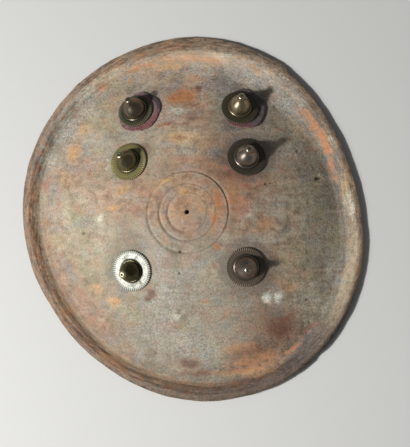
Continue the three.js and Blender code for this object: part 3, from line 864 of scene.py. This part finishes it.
def make_cloth(place):
    seat = seat_of(place)
    fit, slip = CLOTH_FIT[place]
    hole = SHANK_RADIUS + SHANK_CLEARANCE
    top = [(share, 1) for share in np.linspace(0, 1, CLOTH_TOP_STEPS)]
    under = [(share, 0) for share in np.linspace(1, 0, CLOTH_UNDER_STEPS)]
    section = top + [(1.015, 0.5)] + under
    even = [(hole + share * CLOTH_RADIUS, level * CLOTH_THICKNESS) for share, level in section]
    piece = finished_piece(spin_section(even, CLOTH_STEPS, True), f"cloth_round_{place}")

    spun = places_of(piece)
    share, level = np.array(section)[stations_of(piece)].T
    turn = np.arctan2(spun[:, 1], spun[:, 0])
    rim = np.stack([np.cos(turn), np.sin(turn), turn * 0], axis=-1)
    frayed = 0.9 * rough(rim * 10, 2.2, 3, seed=fit) + 0.35 * rough(rim * 10, 0.5, 2, seed=fit + 3)
    radius = CLOTH_RADIUS * fit + CLOTH_WAVE_DEPTH * np.sin(CLOTH_WAVES * turn) + frayed
    reach = hole + share * (radius - hole)
    across = reach * np.cos(turn) + CLOTH_RADIUS * slip * share
    pucker = 0.35 * smooth(0.8, 1, share) * rough(rim * 10, 1.1, 2, seed=fit + 7)
    lift = SEAT_CLEARANCE + level * CLOTH_THICKNESS + pucker * level
    set_places(piece, on_face_near(seat, across, reach * np.sin(turn), lift))
    for label, (peak, spread, out) in (("blackened", CLOTH_DARK_EDGE[place]), ("frayed", CLOTH_RED[place])):
        set_share(piece, label, swelling(np.degrees(turn), peak, spread) * smooth(out, out + 0.1, share))
    piece.data.materials.append(cloth_finish(place))
    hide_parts(f"cloth_washer_{place}")
    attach(piece, "root")


for place in CLOTH_FIT:
    make_cloth(place)

# The six bosses
# Cast brass, filed and burnished, now brown with age. Each is one casting: a flange with milled teeth, a
# stepped foot ring, a cone that sweeps up to a dimpled button, and a shank riveted behind the hide.
FLANGE_RADIUS = 24.5
FOOT_RADIUS = 15.8
# How each boss differs from those sizes: by what its flange is multiplied, and its foot
BOSS_FIT = {
    "upper_left": (0.97, 1.04), "upper_right": (1, 0.98), "middle_left": (1.04, 0.98),
    "middle_right": (1.05, 1.04), "lower_left": (1.11, 0.95), "lower_right": (1.05, 1.04),
}
BOSS_HEIGHT = 32
FLANGE_THICKNESS = 2.2
TEETH = 56
TOOTH_DEPTH = 0.9
TOOTH_STEPS = 5
MILLED_REACH = 5
MILLED_DEPTH = 0.9
FOOT_RING_HEIGHT = 2.6
FOOT_RING_STEP = 1.6
NECK_RADIUS = 4.2
BUTTON_RADIUS = 4.8
BUTTON_HEIGHT = 5
BUTTON_DIMPLE = 0.6
CONE_BELLY = 1.4
CONE_STEPS = 22
TAIL_RADIUS = 6
TAIL_THICKNESS = 2
TAIL_BED = 0.6
SWELL_SIDES = 14


def swell_under(place):
    """How far the hide swells above a seat's plane under the flange."""
    seat = seat_of(place)
    flange = FLANGE_RADIUS * BOSS_FIT[place][0]
    turn = np.tile(np.arange(SWELL_SIDES) * 2 * np.pi / SWELL_SIDES, 3)
    reach = flange * np.repeat([0.4, 0.7, 1], SWELL_SIDES)
    near = on_face_near(seat, reach * np.cos(turn), reach * np.sin(turn), 0)
    inverse = seat.inverted()
    return max(0, max((inverse @ Vector(point)).z for point in near))


def flange_lift(place):
    under = 2 * SEAT_CLEARANCE + CLOTH_THICKNESS if place in CLOTH_FIT else SEAT_CLEARANCE
    return under + swell_under(place)


def arc(centre, radius, start, end, steps):
    """Points on a round of the section, from one angle to another."""
    turn = np.radians(np.linspace(start, end, steps + 1))
    return [(centre[0] + radius * np.cos(t), centre[1] + radius * np.sin(t)) for t in turn]


def boss_section(place):
    """The casting's outline from the tail's end to the button, each point with its wear and its milling."""
    flange, foot = FLANGE_RADIUS * BOSS_FIT[place][0], FOOT_RADIUS * BOSS_FIT[place][1]
    tail_top = -flange_lift(place) - HIDE_THICKNESS + TAIL_BED - SEAT_CLEARANCE
    tail_end = tail_top - TAIL_THICKNESS
    top = FLANGE_THICKNESS
    cone_foot, neck = top + FOOT_RING_HEIGHT, BOSS_HEIGHT - BUTTON_HEIGHT
    rows = []

    def run(points, wear=0.0, dirt=0.0, milled=0.0):
        rows.extend((radius, height, wear, dirt, milled) for radius, height in points)

    run([(0.4, tail_end), (TAIL_RADIUS * 0.6, tail_end)], 0.2)
    run(arc((TAIL_RADIUS - 0.6, tail_end + 0.6), 0.6, -90, 0, 3), 0.5)
    run([(TAIL_RADIUS, tail_top - 0.2), (TAIL_RADIUS - 0.2, tail_top)])
    run([(SHANK_RADIUS, tail_top), (SHANK_RADIUS, 0)])
    run([(foot, 0), (flange - 1, 0)], 0, 0.5)
    run([(flange, 0.25), (flange, top - 0.5)], 0.5, 0.2, 1)
    run([(flange - 0.35, top - 0.1)], 1, 0, 1)
    for share in np.linspace(0.15, 1, 6):
        run([(flange - MILLED_REACH * share, top)], 0.4, 0.1, (1 - share) ** 0.8)
    run([(flange - MILLED_REACH - 1, top), (foot + 2.2, top)], 0.2, 0.15)
    run([(foot + 0.7, top), (foot + 0.1, top + 0.05)], 0, 0.9)
    run([(foot, top + 0.5)], 0.1, 0.4)
    bead = (cone_foot - top) / 2
    run(arc((foot - bead * 0.9, top + bead + 0.2), bead * 0.9, -20, 130, 8), 0.35)
    run([(foot - FOOT_RING_STEP - 0.15, cone_foot - 0.1)], 0, 1)
    for up in np.linspace(0, 1, CONE_STEPS):
        across = (1 + np.cos(np.pi * up**CONE_BELLY)) / 2
        radius = NECK_RADIUS + (foot - FOOT_RING_STEP - NECK_RADIUS) * across
        run([(radius, cone_foot + up * (neck - cone_foot))], 0.15 + 0.4 * up, 0.5 * max(0, 0.12 - up) / 0.12)
    run([(NECK_RADIUS - 0.1, neck + 0.25)], 0, 1)
    middle = neck + BUTTON_HEIGHT * 0.5
    run(arc((BUTTON_RADIUS - BUTTON_HEIGHT * 0.4, middle), BUTTON_HEIGHT * 0.4, -70, 80, 8), 1)
    dimple = BOSS_HEIGHT - BUTTON_DIMPLE * 0.7
    run([(BUTTON_RADIUS * 0.42, BOSS_HEIGHT - 0.15), (BUTTON_RADIUS * 0.3, dimple)], 0.6)
    run([(0.4, BOSS_HEIGHT - BUTTON_DIMPLE)], 0, 1)
    return np.array(rows)


# The brass of each boss: the tone of its flange, and of its cone
BRASS_TONES = {
    "upper_left": (paint(84, 82, 58), paint(124, 112, 96)),
    "upper_right": (paint(74, 66, 48), paint(166, 152, 124)),
    "middle_left": (paint(128, 120, 72), paint(124, 116, 88)),
    "middle_right": (paint(72, 64, 50), paint(150, 138, 126)),
    # The lower left flange's pale silvery tone is partly paler metal, partly a painted reflection of the key
    # light
    "lower_left": (paint(156, 156, 144), paint(88, 82, 58)),
    "lower_right": (paint(100, 86, 72), paint(136, 122, 112)),
}
BRIGHT_BUTTON = {"lower_left": 0.95}
PATINA = paint(46, 40, 30)
FLANGE_SHEEN = 0.35
CONE_SHEEN = 0.95


def brass_finish(place):
    flange_tone, cone_tone = BRASS_TONES[place]
    brass = Finish(f"aged_brass_{place}")
    worn, dirt, cone = brass.share("wear"), brass.share("dirt"), brass.share("cone")
    cloudy = brass.noise(9, 4, 0.6)
    fine = brass.noise(1.5, 3, 0.6)
    brass.colour = brass.blend(cone, flange_tone, cone_tone)
    patina = (cloudy * 0.7 + fine * 0.3 - worn * 0.22).between(0.4, 0.68)
    brass.lay(patina * 0.6, PATINA)
    bright = worn.between(0.5, 1) * 0.3 + worn.between(0.93, 1) * (BRIGHT_BUTTON.get(place, 0.3) - 0.3)
    brass.lay(bright, paint(212, 206, 184))
    brass.lay(dirt * 0.85, paint(30, 27, 20))
    dull = 0.42 - cone * 0.12 + patina * 0.14 + dirt * 0.3 + (fine - 0.5) * 0.2
    sheen = FLANGE_SHEEN + cone * (CONE_SHEEN - FLANGE_SHEEN)
    height = cloudy * 0.1 + fine * 0.05
    return brass.dress(Metallic=sheen, Roughness=dull, Normal=brass.bump(height))


def make_boss(place):
    rows = boss_section(place)
    piece = finished_piece(spin_section(rows[:, :2], TEETH * TOOTH_STEPS, False), f"boss_casting_{place}")
    spun = places_of(piece)
    _, _, wear, dirt, milled = rows[stations_of(piece)].T
    turn = np.arctan2(spun[:, 1], spun[:, 0])
    tooth = 1 - np.abs((turn * TEETH / (2 * np.pi)) % 1 * 2 - 1)
    notch = milled * (1 - np.clip(tooth * 1.6, 0, 1))
    reach = np.hypot(spun[:, 0], spun[:, 1])
    at_rim = reach > FLANGE_RADIUS * BOSS_FIT[place][0] - 0.5
    spun[:, :2] *= (1 - np.where(at_rim, TOOTH_DEPTH * notch / np.maximum(reach, 1), 0))[:, None]
    on_top = spun[:, 2] > FLANGE_THICKNESS - 0.3
    spun[:, 2] -= np.where(on_top, MILLED_DEPTH * notch, 0)
    seat = seat_of(place) @ Matrix.Translation((0, 0, flange_lift(place)))
    turned = np.array(seat.to_3x3())
    set_places(piece, spun @ turned.T + np.array(seat.translation))
    set_share(piece, "wear", wear * (1 - 0.7 * notch))
    set_share(piece, "dirt", dirt + 0.7 * notch * on_top)
    set_share(piece, "cone", (spun[:, 2] > FLANGE_THICKNESS + 0.2).astype(float))
    piece.data.materials.append(brass_finish(place))
    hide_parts(f"boss_{place}")
    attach(piece, "root")


for place in SEATS:
    make_boss(place)

# The floor, the lights and the camera
# A plain pale floor under the shield, a soft key light from the left and a little below it in the view,
# and a broad weak fill. The camera looks down on the face from the photograph's own angle.
FLOOR_SIZE = 6
FLOOR_PAINT = paint(205, 204, 200)
KEY_FROM = Vector((-0.576, -0.23, 0.785))
LAMP_DISTANCE = 2.4
KEY_SIZE = 0.2
KEY_POWER = 50
BROAD_FROM = Vector((-0.6, -0.3, 0.74))
BROAD_SIZE = 1.1
BROAD_POWER = 20
SKY_COLOUR = (0.9, 0.95, 1, 1)
SKY_POWER = 0.14
CAMERA_AIM = Vector((24.9, -10.9, 30)) * MM
CAMERA_BACK = Vector((0.152, -0.070, 0.9859))
CAMERA_DISTANCE = 1.5
CAMERA_LENS = 92.4
CAMERA_SENSOR = 36

floor_mesh = bmesh.new()
bmesh.ops.create_grid(floor_mesh, x_segments=1, y_segments=1, size=FLOOR_SIZE / 2 / MM)
floor = finished_piece(floor_mesh, "studio_floor")
set_places(floor, places_of(floor))
floor.data.materials.append(Finish("studio_paper", Roughness=0.9, Base_Color=FLOOR_PAINT).material)


def add_lamp(name, towards, size, power):
    lamp = bpy.data.lights.new(name, "AREA")
    lamp.shape = "DISK"
    lamp.size = size
    lamp.energy = power
    holder = bpy.data.objects.new(name, lamp)
    holder.location = towards.normalized() * LAMP_DISTANCE
    holder.rotation_euler = towards.to_track_quat("Z", "Y").to_euler()
    bpy.context.scene.collection.objects.link(holder)


add_lamp("key_light", KEY_FROM, KEY_SIZE, KEY_POWER)
add_lamp("broad_light", BROAD_FROM, BROAD_SIZE, BROAD_POWER)

world = bpy.data.worlds.new("studio")
world.use_nodes = True
sky = world.node_tree.nodes["Background"].inputs
sky["Color"].default_value = SKY_COLOUR
sky["Strength"].default_value = SKY_POWER
bpy.context.scene.world = world
bpy.context.scene.view_settings.view_transform = "Standard"

camera = bpy.data.objects.new("camera", bpy.data.cameras.new("camera"))
camera.data.sensor_width = CAMERA_SENSOR
camera.data.lens = CAMERA_LENS
back = CAMERA_BACK.normalized()
right = (-back).cross(Vector((0, 1, 0))).normalized()
up = right.cross(-back)
camera.matrix_world = Matrix.LocRotScale(
    CAMERA_AIM + back * CAMERA_DISTANCE, Matrix((right, up, back)).transposed().to_quaternion(), None
)
bpy.context.scene.collection.objects.link(camera)
bpy.context.scene.camera = camera
